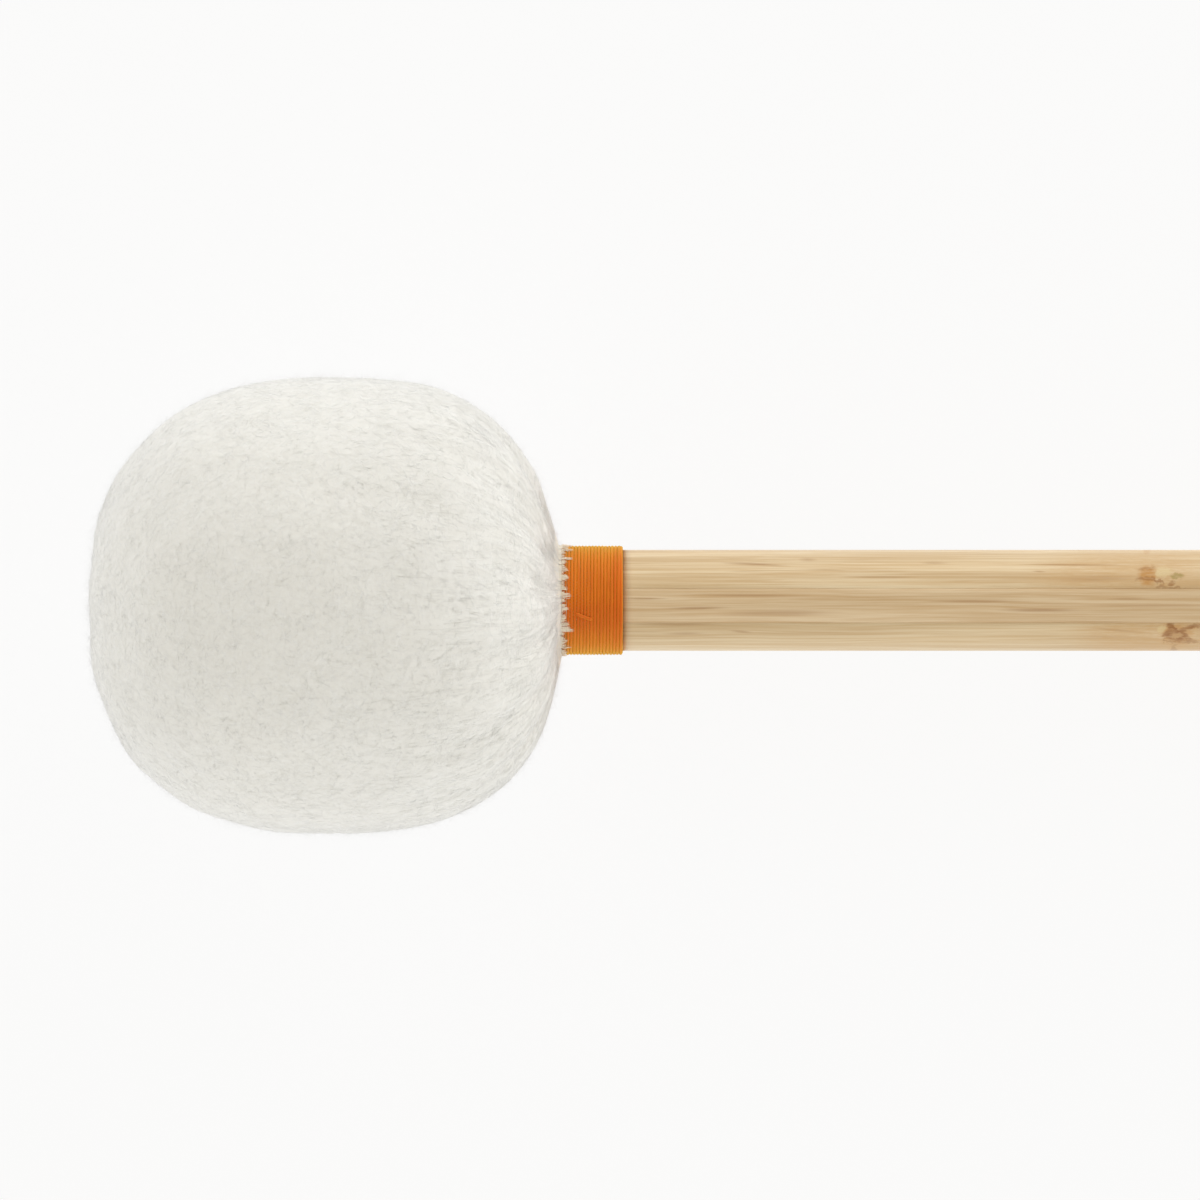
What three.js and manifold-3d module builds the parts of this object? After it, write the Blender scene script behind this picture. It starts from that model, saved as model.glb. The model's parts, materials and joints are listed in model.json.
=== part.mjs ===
// A bass drum mallet: a soft head, gathered and bound on to a turned shaft of laminated bamboo.
// The mallet is built along its own X axis, with the head's rear at X = 0, the head's front
// towards -X and the butt of the shaft towards +X. It is then laid on a table, on its head and
// its butt. Lengths are in millimetres and +Z is up.

import * as THREE from "three";
import { mergeVertices } from "three/addons/utils/BufferGeometryUtils.js";
import Module from "manifold-3d";

const wasm = await Module();
wasm.setup();

// Whole mallet
const overallLength = 400;
const seatGap = 0.3; // left between two pieces that touch
const cutOverrun = 2; // how far a cutting solid runs past what it cuts

// Head outline: half a superellipse before its widest ring, and half of another behind it
const headDiameter = 73;
const headLength = 75;
const headWidestFromNeck = 37;
const headFrontPower = 2.4;
const headRearPower = 2.6;
const restDepth = 0.5; // how far the soft head is pressed flat where it lies on the table

// Head layers, from the outside in
const coverThickness = 4.5; // fleece pile and its backing cloth
const paddingThickness = 5;
const feltPadThickness = 9; // before and behind the core
const feltStripThickness = 2.8;
const feltRollShare = 0.255; // of the head's radius, to the nearest whole turn of the strip
const coreRounding = 3;

// Gathers of the cover behind the widest ring
const gatherCount = 14;
const gatherDepth = 1.5;
const gatherSway = 0.9; // radians by which the folds stray from an even spacing

// Shaft: three bamboo boards, glued face to face and turned round
const shaftDiameter = 16;
const middleBoardThickness = 5.4;
const middleBoardOffset = 0.85; // from the shaft's axis to the middle board's centre, along -Y
const buttRounding = 2;
const shoulderHeight = 1.75; // from the spigot, which carries the head, up to the shaft

// Cross pin through the core and the spigot
const pinDiameter = 4;
const pinInset = 0.5; // below the core's surface, at each end

// Neck: the cover's hem, tied and bound on to the spigot
const bindingWidth = 9.5;
const hemThickness = 0.6; // backing cloth alone, pressed by the tie
const tieCordDiameter = 0.4;
const tieTurnGap = 0.45;
const tieTurns = 3;
const underwindingThickness = 0.4; // the binding's inner layers
const threadDiameter = 0.5;
const threadTurnGap = 0.45; // the least gap between turns of the binding's outer layer

// Facets and steps
const roundFacets = 48;
const coverFacets = 44;
const pinFacets = 24;
const coverRearSteps = 8;
const coverFrontSteps = 6;
const layerSteps = 5;
const edgeArcSteps = 4;
const loopSteps = 24;
const loopSides = 6;

// One layer of the head, by its depth under the outline: the half axes of its surface
function layerAt(depth) {
  return {
    radius: headDiameter / 2 - depth,
    rear: headWidestFromNeck - depth,
    front: headLength - headWidestFromNeck - depth,
  };
}

const paddingDepth = coverThickness + seatGap;
const feltDepth = paddingDepth + paddingThickness + seatGap;
const outline = layerAt(0);
const coverInside = layerAt(coverThickness);
const paddingOutside = layerAt(paddingDepth);
const paddingInside = layerAt(paddingDepth + paddingThickness);
const feltOutside = layerAt(feltDepth);

// Places along X
const headWidestX = -headWidestFromNeck;
const coreFrontX = feltDepth + feltPadThickness + seatGap - headLength;
const coreRearX = -feltDepth - feltPadThickness - seatGap;
const coreMiddleX = (coreFrontX + coreRearX) / 2;
const shoulderX = bindingWidth + seatGap;
const hemEndX = bindingWidth - seatGap;
const buttX = overallLength - headLength;

// Radii, from the spigot outwards
const shaftRadius = shaftDiameter / 2;
const spigotRadius = shaftRadius - shoulderHeight;
const seatRadius = spigotRadius + seatGap;
const hemRadius = seatRadius + hemThickness;
const underwindingRadius = hemRadius + seatGap + underwindingThickness;
const threadPathRadius = underwindingRadius + seatGap + threadDiameter / 2;
const tiePathRadius = hemRadius + seatGap + tieCordDiameter / 2;
const feltStripPitch = feltStripThickness + seatGap;
const feltRollLayers = Math.round((feltRollShare * outline.radius) / feltStripPitch);
const feltStripTurns = feltRollLayers - 1; // a turn of the strip ends one layer further out
const coreRadius = feltOutside.radius - feltRollLayers * feltStripPitch;

// A point [x, r] of a layer. turn runs from 0 at the rear, through a quarter turn at the widest
// ring, to a half turn at the front.
function layerPoint(layer, turn) {
  const behind = turn < Math.PI / 2;
  const power = behind ? headRearPower : headFrontPower;
  const along = Math.abs(Math.cos(turn)) ** (2 / power);
  const across = Math.sin(turn) ** (2 / power);
  return [headWidestX + along * (behind ? layer.rear : -layer.front), layer.radius * across];
}

// Points of a layer, from the ring of the given radius at its rear to the axis at its front
function layerCurve(layer, rearRadius, rearSteps, frontSteps) {
  const start = Math.asin((rearRadius / layer.radius) ** (headRearPower / 2));
  const points = [];
  for (let i = 0; i <= rearSteps; i++) {
    points.push(layerPoint(layer, start + ((Math.PI / 2 - start) * i) / rearSteps));
  }
  for (let i = 1; i < frontSteps; i++) {
    points.push(layerPoint(layer, (Math.PI / 2) * (1 + i / frontSteps)));
  }
  points.push([headWidestX - layer.front, 0]);
  return points;
}

// A body turned round the X axis. Its profile of [x, r] points starts and ends on the axis or
// closes on itself, and its outside runs towards +X.
function turned(profile, facets) {
  const points = profile.map(([x, r]) => new THREE.Vector2(r, x));
  return new THREE.LatheGeometry(points, facets).rotateZ(-Math.PI / 2);
}

function toSolid(geometry) {
  const bare = geometry.clone();
  bare.deleteAttribute("normal");
  bare.deleteAttribute("uv");
  const merged = mergeVertices(bare);
  return new wasm.Manifold(
    new wasm.Mesh({
      numProp: 3,
      vertProperties: merged.getAttribute("position").array,
      triVerts: new Uint32Array(merged.index.array),
    }),
  );
}

function toGeometry(solid) {
  const mesh = solid.getMesh();
  const geometry = new THREE.BufferGeometry();
  geometry.setAttribute("position", new THREE.BufferAttribute(mesh.vertProperties, 3));
  geometry.setIndex(new THREE.BufferAttribute(mesh.triVerts, 1));
  geometry.computeVertexNormals();
  return geometry;
}

// A box between two corners
function block(low, high) {
  const size = high.map((value, i) => value - low[i]);
  const centre = high.map((value, i) => (value + low[i]) / 2);
  return new THREE.BoxGeometry(...size).translate(...centre);
}

// A bar along Y through the middle of the core, for the pin and its holes
function crossBar(radius, length) {
  const bar = new THREE.CylinderGeometry(radius, radius, length, pinFacets);
  return bar.translate(coreMiddleX, 0, 0);
}

const pinHole = toSolid(crossBar(pinDiameter / 2 + seatGap, 2 * (coreRadius + cutOverrun)));

// Shaft
function shaftProfile() {
  const points = [
    [coreFrontX, 0],
    [coreFrontX, spigotRadius],
    [shoulderX, spigotRadius],
    [shoulderX, shaftRadius],
  ];
  for (let i = 0; i <= edgeArcSteps; i++) {
    const turn = ((Math.PI / 2) * i) / edgeArcSteps;
    points.push([
      buttX - buttRounding * (1 - Math.sin(turn)),
      shaftRadius - buttRounding * (1 - Math.cos(turn)),
    ]);
  }
  points.push([buttX, 0]);
  return points;
}

const rod = toSolid(turned(shaftProfile(), roundFacets));

function shaftBoard(lowY, highY) {
  const reach = shaftRadius + cutOverrun;
  const slab = block(
    [coreFrontX - cutOverrun, lowY, -reach],
    [buttX + cutOverrun, highY, reach],
  );
  return toGeometry(rod.intersect(toSolid(slab)).subtract(pinHole));
}

const nearGlueY = -middleBoardOffset - middleBoardThickness / 2;
const farGlueY = nearGlueY + middleBoardThickness;

// Head, from the inside out
function headCore() {
  const points = [[coreFrontX, seatRadius]];
  for (let i = 0; i <= edgeArcSteps; i++) {
    const turn = ((Math.PI / 2) * i) / edgeArcSteps;
    points.push([
      coreFrontX + coreRounding * (1 - Math.cos(turn)),
      coreRadius - coreRounding * (1 - Math.sin(turn)),
    ]);
  }
  const mirrored = points.map(([x, r]) => [2 * coreMiddleX - x, r]).reverse();
  const profile = [...points, ...mirrored, points[0]];
  return toGeometry(toSolid(turned(profile, roundFacets)).subtract(pinHole));
}

const feltBall = toSolid(
  turned(
    [
      ...layerCurve(feltOutside, seatRadius, layerSteps, layerSteps).reverse(),
      [headWidestX + feltOutside.rear, 0],
    ],
    coverFacets,
  ),
);

// The felt strip, rolled round the core, and trimmed round with the pads
function feltWrap() {
  const inner = [];
  const outer = [];
  for (let i = 0; i <= feltStripTurns * loopSteps; i++) {
    const turns = i / loopSteps;
    const radius = coreRadius + seatGap + feltStripPitch * turns;
    const outwards = new THREE.Vector2(
      Math.cos(2 * Math.PI * turns),
      Math.sin(2 * Math.PI * turns),
    );
    inner.push(outwards.clone().multiplyScalar(radius));
    outer.push(outwards.clone().multiplyScalar(radius + feltStripThickness));
  }
  const strip = new THREE.ExtrudeGeometry(new THREE.Shape([...inner, ...outer.reverse()]), {
    depth: coreRearX - coreFrontX,
    bevelEnabled: false,
  });
  strip.rotateY(Math.PI / 2).translate(coreFrontX, 0, 0);
  return toGeometry(toSolid(strip).intersect(feltBall));
}

// The felt ball's share between two places along X
function feltSlice(lowX, highX) {
  const reach = feltOutside.radius + cutOverrun;
  return feltBall.intersect(toSolid(block([lowX, -reach, -reach], [highX, reach, reach])));
}

function feltPadFront() {
  return toGeometry(feltSlice(-headLength, coreFrontX - seatGap));
}

function feltPadRear() {
  const hole = turned(
    [
      [coreRearX, 0],
      [coreRearX, seatRadius],
      [cutOverrun, seatRadius],
      [cutOverrun, 0],
    ],
    roundFacets,
  );
  return toGeometry(feltSlice(coreRearX + seatGap, 0).subtract(toSolid(hole)));
}

function paddingLayer() {
  const outside = layerCurve(paddingOutside, seatRadius, layerSteps, layerSteps);
  const inside = layerCurve(paddingInside, seatRadius, layerSteps, layerSteps);
  return turned([...outside.reverse(), ...inside], coverFacets);
}

// How deep the cover is drawn in between its folds, at an angle round the axis and at a share of
// the way from the neck to the widest ring
function gatherAt(angle, share) {
  const fade = Math.sin(Math.PI * Math.sqrt(share)) ** 2;
  const fold = gatherCount * angle + gatherSway * Math.sin(2 * angle + gatherSway);
  return (gatherDepth * fade * (1 + Math.cos(fold))) / 2;
}

function headCover() {
  const outside = layerCurve(outline, hemRadius, coverRearSteps, coverFrontSteps);
  const inside = layerCurve(coverInside, seatRadius, layerSteps, layerSteps);
  const hem = [
    [hemEndX, hemRadius],
    [hemEndX, seatRadius],
  ];
  const profile = [...outside.reverse(), ...hem, ...inside];
  const cover = turned(profile, coverFacets);
  const position = cover.getAttribute("position");
  const at = new THREE.Vector3();
  for (let i = 0; i < position.count; i++) {
    const step = outside.length - 1 - (i % profile.length);
    if (step > 0 && step < coverRearSteps) {
      at.fromBufferAttribute(position, i);
      const radius = Math.hypot(at.y, at.z);
      const depth = gatherAt(Math.atan2(at.z, at.y), step / coverRearSteps);
      const scale = (radius - depth) / radius;
      position.setXYZ(i, at.x, at.y * scale, at.z * scale);
    }
  }
  return cover;
}

// Windings: one unbroken tube on a helix round the X axis, with straight ends
function helixPath(startX, pitch, turnCount, radius, diameter) {
  const points = [];
  for (let i = 0; i <= turnCount * loopSteps; i++) {
    const turns = i / loopSteps;
    points.push(
      new THREE.Vector3(
        startX + pitch * turns,
        radius * Math.cos(2 * Math.PI * turns),
        radius * Math.sin(2 * Math.PI * turns),
      ),
    );
  }
  const extend = (end, before) => end.clone().add(end.clone().sub(before).setLength(diameter));
  const first = extend(points[0], points[1]);
  const last = extend(points[points.length - 1], points[points.length - 2]);
  return [first, ...points, last];
}

// The least gap between a tube and its own other turns, measured on its points
function leastGap(path, diameter) {
  let least = Infinity;
  path.forEach((a, i) => {
    path.slice(i + loopSteps / 2).forEach((b) => {
      least = Math.min(least, a.distanceTo(b) - diameter);
    });
  });
  return least;
}

function woundTube(name, path, diameter) {
  const positions = [];
  const indices = [];
  path.forEach((centre, ring) => {
    const before = path[Math.max(ring - 1, 0)];
    const after = path[Math.min(ring + 1, path.length - 1)];
    const along = after.clone().sub(before).normalize();
    const outwards = new THREE.Vector3(0, centre.y, centre.z).normalize();
    const side = new THREE.Vector3().crossVectors(along, outwards).normalize();
    const up = new THREE.Vector3().crossVectors(side, along);
    for (let corner = 0; corner < loopSides; corner++) {
      const turn = (2 * Math.PI * corner) / loopSides;
      const point = centre
        .clone()
        .addScaledVector(up, (diameter / 2) * Math.cos(turn))
        .addScaledVector(side, (diameter / 2) * Math.sin(turn));
      positions.push(...point.toArray());
      if (ring > 0) {
        const here = ring * loopSides + corner;
        const next = ring * loopSides + ((corner + 1) % loopSides);
        indices.push(here - loopSides, next - loopSides, next);
        indices.push(here - loopSides, next, here);
      }
    }
  });
  const lastRing = (path.length - 1) * loopSides;
  for (let corner = 2; corner < loopSides; corner++) {
    indices.push(0, corner, corner - 1);
    indices.push(lastRing, lastRing + corner - 1, lastRing + corner);
  }
  const geometry = new THREE.BufferGeometry();
  geometry.setAttribute("position", new THREE.Float32BufferAttribute(positions, 3));
  geometry.setIndex(indices);
  geometry.computeVertexNormals();
  console.log(`${name}: least gap to itself ${leastGap(path, diameter).toFixed(2)} mm`);
  return geometry;
}

const tieStartX = seatGap + tieCordDiameter / 2;
const tiePitch = tieCordDiameter + tieTurnGap;
const tieEndX = tieStartX + tieTurns * tiePitch + tieCordDiameter / 2;

function neckTie() {
  const path = helixPath(tieStartX, tiePitch, tieTurns, tiePathRadius, tieCordDiameter);
  return woundTube("neck_tie", path, tieCordDiameter);
}

function bindingUnderwinding() {
  const inner = underwindingRadius - underwindingThickness;
  const corners = [
    [bindingWidth, inner],
    [tieEndX + seatGap, inner],
    [tieEndX + seatGap, underwindingRadius],
    [bindingWidth, underwindingRadius],
  ];
  return turned([...corners, corners[0]], roundFacets);
}

function bindingThread() {
  const startX = seatGap + threadDiameter / 2;
  const span = bindingWidth - threadDiameter / 2 - startX;
  const turnCount = Math.floor(span / (threadDiameter + threadTurnGap));
  const path = helixPath(startX, span / turnCount, turnCount, threadPathRadius, threadDiameter);
  return woundTube("binding_thread", path, threadDiameter);
}

// Lying on the table, the mallet slopes with the line that touches the pressed head and the butt
// from below
function restSlope() {
  const head = layerCurve(outline, hemRadius, coverRearSteps, coverFrontSteps);
  const butt = shaftProfile().slice(-edgeArcSteps - 2);
  const slopeFrom = ([headX, headR]) =>
    Math.min(...butt.map(([x, r]) => Math.atan2(headR - restDepth - r, x - headX)));
  return Math.max(...head.map(slopeFrom));
}

const slope = restSlope();
const mallet = new THREE.Group();
mallet.rotation.y = slope;
mallet.position.z = Math.max(
  ...shaftProfile().map(([x, r]) => x * Math.sin(slope) + r * Math.cos(slope)),
);
mallet.updateMatrix();

// The cover, pressed flat by the table top
function restedCover() {
  const reach = overallLength;
  const table = block([-reach, -reach, -reach], [reach, reach, 0]);
  table.applyMatrix4(mallet.matrix.clone().invert());
  return toGeometry(toSolid(headCover()).subtract(toSolid(table)));
}

// Materials
const finish = (color, roughness) =>
  new THREE.MeshStandardMaterial({ color, roughness, metalness: 0 });
const bamboo = finish(0xd4b483, 0.5);
const paleBamboo = finish(0xdabd8e, 0.5);
const maple = finish(0xe2cda6, 0.6);
const beech = finish(0xc79a67, 0.6);
const greyFelt = finish(0xb9b4aa, 0.95);
const wool = finish(0xece7da, 0.95);
const fleece = finish(0xe6e4dc, 0.95);
const waxedCord = finish(0xf1e4cf, 0.7);
const orangeThread = finish(0xd8701f, 0.55);

function addPiece(name, geometry, material) {
  const mesh = new THREE.Mesh(geometry, material);
  mesh.name = name;
  mallet.add(mesh);
}

addPiece("shaft_board_far", shaftBoard(farGlueY, shaftRadius + cutOverrun), bamboo);
addPiece("shaft_board_middle", shaftBoard(nearGlueY, farGlueY), paleBamboo);
addPiece("shaft_board_near", shaftBoard(-shaftRadius - cutOverrun, nearGlueY), bamboo);
addPiece("head_core", headCore(), maple);
addPiece("core_pin", crossBar(pinDiameter / 2, 2 * (coreRadius - pinInset)), beech);
addPiece("felt_wrap", feltWrap(), greyFelt);
addPiece("felt_pad_front", feltPadFront(), greyFelt);
addPiece("felt_pad_rear", feltPadRear(), greyFelt);
addPiece("padding_layer", paddingLayer(), wool);
addPiece("head_cover", restedCover(), fleece);
addPiece("neck_tie", neckTie(), waxedCord);
addPiece("binding_underwinding", bindingUnderwinding(), orangeThread);
addPiece("binding_thread", bindingThread(), orangeThread);

// The origin is on the table, under the middle of the whole mallet
const part = new THREE.Group();
part.add(mallet);
part.updateMatrixWorld(true);
const extent = new THREE.Box3().setFromObject(part, true);
mallet.position.x -= (extent.min.x + extent.max.x) / 2;
mallet.position.y -= (extent.min.y + extent.max.y) / 2;

export default part;
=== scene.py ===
import json
import math

import bpy
import numpy as np
from mathutils import Matrix, Vector


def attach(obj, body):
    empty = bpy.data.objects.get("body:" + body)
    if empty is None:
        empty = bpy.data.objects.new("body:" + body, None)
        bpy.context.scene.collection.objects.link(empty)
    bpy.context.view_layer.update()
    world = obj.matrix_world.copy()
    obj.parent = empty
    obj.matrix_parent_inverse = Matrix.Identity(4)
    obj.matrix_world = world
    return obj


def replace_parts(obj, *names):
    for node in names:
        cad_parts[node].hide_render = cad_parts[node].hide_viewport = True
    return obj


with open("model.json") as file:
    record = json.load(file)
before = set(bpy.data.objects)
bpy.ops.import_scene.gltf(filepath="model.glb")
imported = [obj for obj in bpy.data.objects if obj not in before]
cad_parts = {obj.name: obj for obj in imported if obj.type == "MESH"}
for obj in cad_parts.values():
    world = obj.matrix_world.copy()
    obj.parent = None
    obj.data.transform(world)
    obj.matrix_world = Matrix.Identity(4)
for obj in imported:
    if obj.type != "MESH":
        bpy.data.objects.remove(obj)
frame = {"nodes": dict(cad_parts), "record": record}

# A bass drum mallet, lying on its soft head and its butt. Lengths are in metres.
# Shapes are built in the mallet's own frame, with its axis along X, the head's rear at X = 0 and
# the shaft towards +X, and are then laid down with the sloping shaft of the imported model.
# Angles round the axis start at the mallet's top and grow towards its far side, +Y.

MM = 0.001
QUARTER = math.pi / 2
WHOLE = 2 * math.pi
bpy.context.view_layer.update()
rng = np.random.default_rng(20)

# Head outline: half a superellipse before its widest ring, and half of another behind it
HEAD_RADIUS = 36.5 * MM
HEAD_LENGTH = 75 * MM
HEAD_WIDEST = 37 * MM  # from the neck
FRONT_POWER = 2.4
REAR_POWER = 2.72
COVER_THICKNESS = 4.5 * MM
PILE = 0.4 * MM  # the pile's floor lies this deep under the outline
NECK_RADIUS = 8.6 * MM
NECK_FILL = 0.6 * MM  # the cover bulges this far to meet the binding
NECK_FILL_REACH = 3 * MM
HEM_RADIUS = 7.15 * MM
HEM_INSIDE = 6.55 * MM
HEM_END = 9.2 * MM
HEAD_SAG = 0.85 * MM  # the head's middle lies this far off the axis, on its near side
HEAD_SAG_REACH = 8 * MM
HEAD_TILT = 0.028  # the head's rear is drawn in on the far side and bulges on the near side
HEAD_TILT_REACH = 30 * MM
COVER_RINGS = 230
COVER_AROUND = 440
LINING_RINGS = 24
PROFILE_STEPS = 4000

# Gathers behind the widest ring
GATHERS = 14
GATHER_DEPTH = 0.8 * MM
GATHER_SWAY = 0.9
GATHER_SHARPNESS = 1.8
PLEATS = 46  # small folds close to the neck
PLEAT_DEPTH = 0.05 * MM
PLEAT_START = 4 * MM  # from the neck, where they have their full depth
PLEAT_REACH = 13 * MM
PLEAT_SWAY = 1.7
CREASE_START = 7 * MM  # from the neck, where the creases have their full depth

# Single creases: angle in degrees, depth, width, and reach from the neck
CREASES = [
    (31.5, 1.4 * MM, 1.4 * MM, 32 * MM),
    (60, 0.5 * MM, 1.3 * MM, 26 * MM),
    (75, 0.55 * MM, 1.3 * MM, 24 * MM),
    (-30, 0.2 * MM, 1.0 * MM, 17 * MM),
    (-48, 0.4 * MM, 1.3 * MM, 24 * MM),
    (-66, 0.4 * MM, 1.3 * MM, 20 * MM),
    (118, 0.6 * MM, 1.2 * MM, 24 * MM),
    (165, 0.6 * MM, 1.1 * MM, 20 * MM),
    (-128, 0.7 * MM, 1.2 * MM, 25 * MM),
]

# Unevenness of the pile: how far it runs, and how high it is. A wave is as long as its field's
# length times a share in WAVE_SPREAD.
WAVE_SPREAD = (0.7, 1.5)
LUMP_LENGTH, LUMP_HEIGHT = 14 * MM, 0.12 * MM
CLUMP_LENGTH, CLUMP_HEIGHT = 2.4 * MM, 0.024 * MM
TUFT_LENGTH, TUFT_HEIGHT = 1.0 * MM, 0.026 * MM
CALM_REACH = 46 * MM  # the pile lies flatter up to here from the neck
CALM_SHARE = 0.3  # of the clumps and tufts is left at the neck
FLOW_LENGTH = 9 * MM  # over which the fibres' direction sways
LOCK_LENGTH = 1.5 * MM  # over which the fibres' shade changes

# Fibres of the fleece. A width is a share of FIBRE_WIDTH, a turn or a curl is in radians, and
# two values are the ends of a range, or the middle and the spread of a rise.
FIBRE_WIDTH = 0.042 * MM
TIP_TAPER = 0.5
FLATNESS = 0.12  # of the fibres that lie on the surface
FIBRES_IN_PIECE = 8000
BAKE_MARGIN = 0.02  # round the map for baking
BAKE_NUDGE = 0.004  # from a fibre's middle to its sides on that map
SHADE_MIDDLE = 0.55  # a shade of 0 is dark and 1 is light
SHADE_SPREAD = 0.3
SMALLEST_RING = 2 * MM  # nearer to the head's tip, fibres turn as on this radius

LYING_FIBRES = 44000
LYING_LENGTH = (2.2 * MM, 4.4 * MM)
LYING_LOW = (-0.015 * MM, 0.015 * MM)
LYING_RISE = (0.01 * MM, 0.035 * MM)
LYING_WIDTH = (0.8, 1.25)
LYING_CURL = 1.3
LYING_LOCKS = 0.12  # by which the shade changes from lock to lock
STRAIGHT_REACH = 16 * MM  # up to here from the neck, they all run straight to it
LOOSE_REACH = 60 * MM  # and from here on none does
STRAIGHT_EXTRA = 2.6 * MM  # the straight ones are longer by this
STRAIGHT_CALM = 0.85  # and lose this share of their curl
STRAIGHT_SWAY = 0.12
STRAIGHT_TURN = 0.16

FLYING_FIBRES = 30000
FLYING_LENGTH = (1.4 * MM, 4.2 * MM)
FLYING_HEIGHT = 0.6 * MM  # on average
FLYING_LIMITS = (0.05 * MM, 1.7 * MM)
FLYING_WIDTH = (0.45, 0.7)
FLYING_CURL = 1.2
FLYING_SHADES = (0.5, 1)

COMBED_FIBRES = 6000
COMBED_REACH = 0.44  # of the head's whole arc, from the neck
COMBED_LENGTH = (5 * MM, 11 * MM)
COMBED_LOW = (0.0, 0.04 * MM)
COMBED_RISE = (0.0, 0.1 * MM)
COMBED_WIDTH = (0.8, 1.3)
COMBED_TURN = 0.13
COMBED_CURL = 0.3
COMBED_LOCKS = 0.15

# Binding
THREAD_RADIUS = 0.275 * MM
THREAD_TURNS = 19.5
THREAD_PATH = 8.4 * MM
THREAD_START = 0.3 * MM
THREAD_END = 9.53 * MM
THREAD_LAY = 1.5 * MM  # along the thread, for one turn of its plies
THREAD_STEP = 0.2 * MM
THREAD_SIDES = 9
PLIES = 3
PLY_DEPTH = 0.14  # of the thread's radius
FIRST_ANGLE = 2.2
SQUARE_TURN = 0.95  # of a turn lies square to the axis at each end
STEP_DOWN = 0.2 * MM
STEP_TURNS = 1.5  # the last turns, which step down to the shaft
TUCK_DEPTH = 0.5 * MM
TUCK_TURNS = 0.02
WANDER = 0.012 * MM
WANDER_TURNS = 1.3

# The thread's end: its places along X, its angles in degrees, and its height over the turns and
# depth under them, as shares of the thread's radius
TAIL_STEPS = 60
TAIL_X = (2.3 * MM, 5.0 * MM)
TAIL_ANGLES = (-14, -21)
TAIL_HEIGHT = 1.1
TAIL_DEPTH = 1.0
TAIL_DIVE = 0.25  # the share of its half length in which it dives

# Fringe of fleece over the binding's first turns
FRINGE_TUFTS = 86
FRINGE_FIBRES = 14
FRINGE_SHIFT = 0.3  # of the tufts' distance from each other
FRINGE_TUFT_WIDTH = (0.396 * MM, 0.759 * MM)
FRINGE_SHORTEST = 0.55 * MM
FRINGE_EXTRA = 0.5 * MM  # on average
FRINGE_LONGEST = 2.2 * MM
FRINGE_RAGGED = 0.12 * MM
FRINGE_POINT = 0.5 * MM  # the tufts are pointed by this for each width from their middle
FRINGE_LIFT = (0.02 * MM, 0.16 * MM)
FRINGE_STRAY = 0.012
FRINGE_ROOT = 2.4 * MM  # on the head, from its rear end
FRINGE_ROOT_HEIGHT = 0.04 * MM
FRINGE_WIDTH = (2.2, 3.4)
FRINGE_FLATNESS = 0.3
FRINGE_STEPS = 6

# Places along X over the binding's first turns, and the fringe's radius there
FRINGE_PROFILE = [
    (0.05 * MM, 8.68 * MM),
    (0.3 * MM, 8.74 * MM),
    (0.8 * MM, 8.73 * MM),
    (1.15 * MM, 8.58 * MM),
    (1.5 * MM, 8.72 * MM),
    (2.6 * MM, 8.62 * MM),
]

# Shaft: three bamboo boards, glued face to face and turned round
SHAFT_RADIUS = 8 * MM
SPIGOT_RADIUS = 6.25 * MM
SPIGOT_FRONT = -55.3 * MM
SHOULDER = 9.8 * MM
BUTT = 325 * MM
BUTT_ROUNDING = 2 * MM
SPIGOT_RINGS = 20
BUTT_RINGS = 7
ARRIS = 0.06 * MM  # the boards' edges are this soft at the glue lines
NEAR_GLUE = -3.55 * MM
FAR_GLUE = 1.85 * MM
STATION = 1.5 * MM
ARC_STEP = 0.7 * MM
FEWEST_ARC_POINTS = 4
GLUE_POINTS = 6

# Where the bamboo's nodes cross the boards: X and Y
FAR_KNOT = (94.5 * MM, 3.6 * MM)
NEAR_KNOT = (97.3 * MM, -5.2 * MM)
MIDDLE_KNOT = (196 * MM, -0.6 * MM)

# Marks round a node: X and Y from its middle, half length and half width in millimetres, tilt in
# degrees, strength and tone
OPEN_MARKS = [
    (-5, 0, 19, 6, 0, 0.5, "warm"),
    (-1.9, 0.25, 1.9, 2.2, 0, 0.8, "orange"),
    (-2.1, -0.2, 2.2, 0.5, 0, 0.6, "dark"),
    (-1.9, 1.4, 1.8, 0.45, 4, 0.4, "dark"),
    (0.6, 0.9, 1.8, 1.0, 0, 0.6, "pale"),
    (0.9, -0.95, 1.3, 0.6, 0, 0.55, "pink"),
    (2.7, 0.25, 1.4, 0.6, 0, 0.8, "olive"),
    (-0.2, -0.6, 1.3, 0.36, -31, 0.75, "dark"),
    (1.9, -0.95, 0.7, 0.5, 20, 0.7, "dark"),
    (0.3, -1.4, 1.1, 0.3, 0, 0.5, "dark"),
    (2.0, -1.65, 3.2, 0.24, 0, 0.5, "dark"),
    (-1.7, 4.4, 0.7, 0.9, 0, 0.35, "orange"),
]
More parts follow.
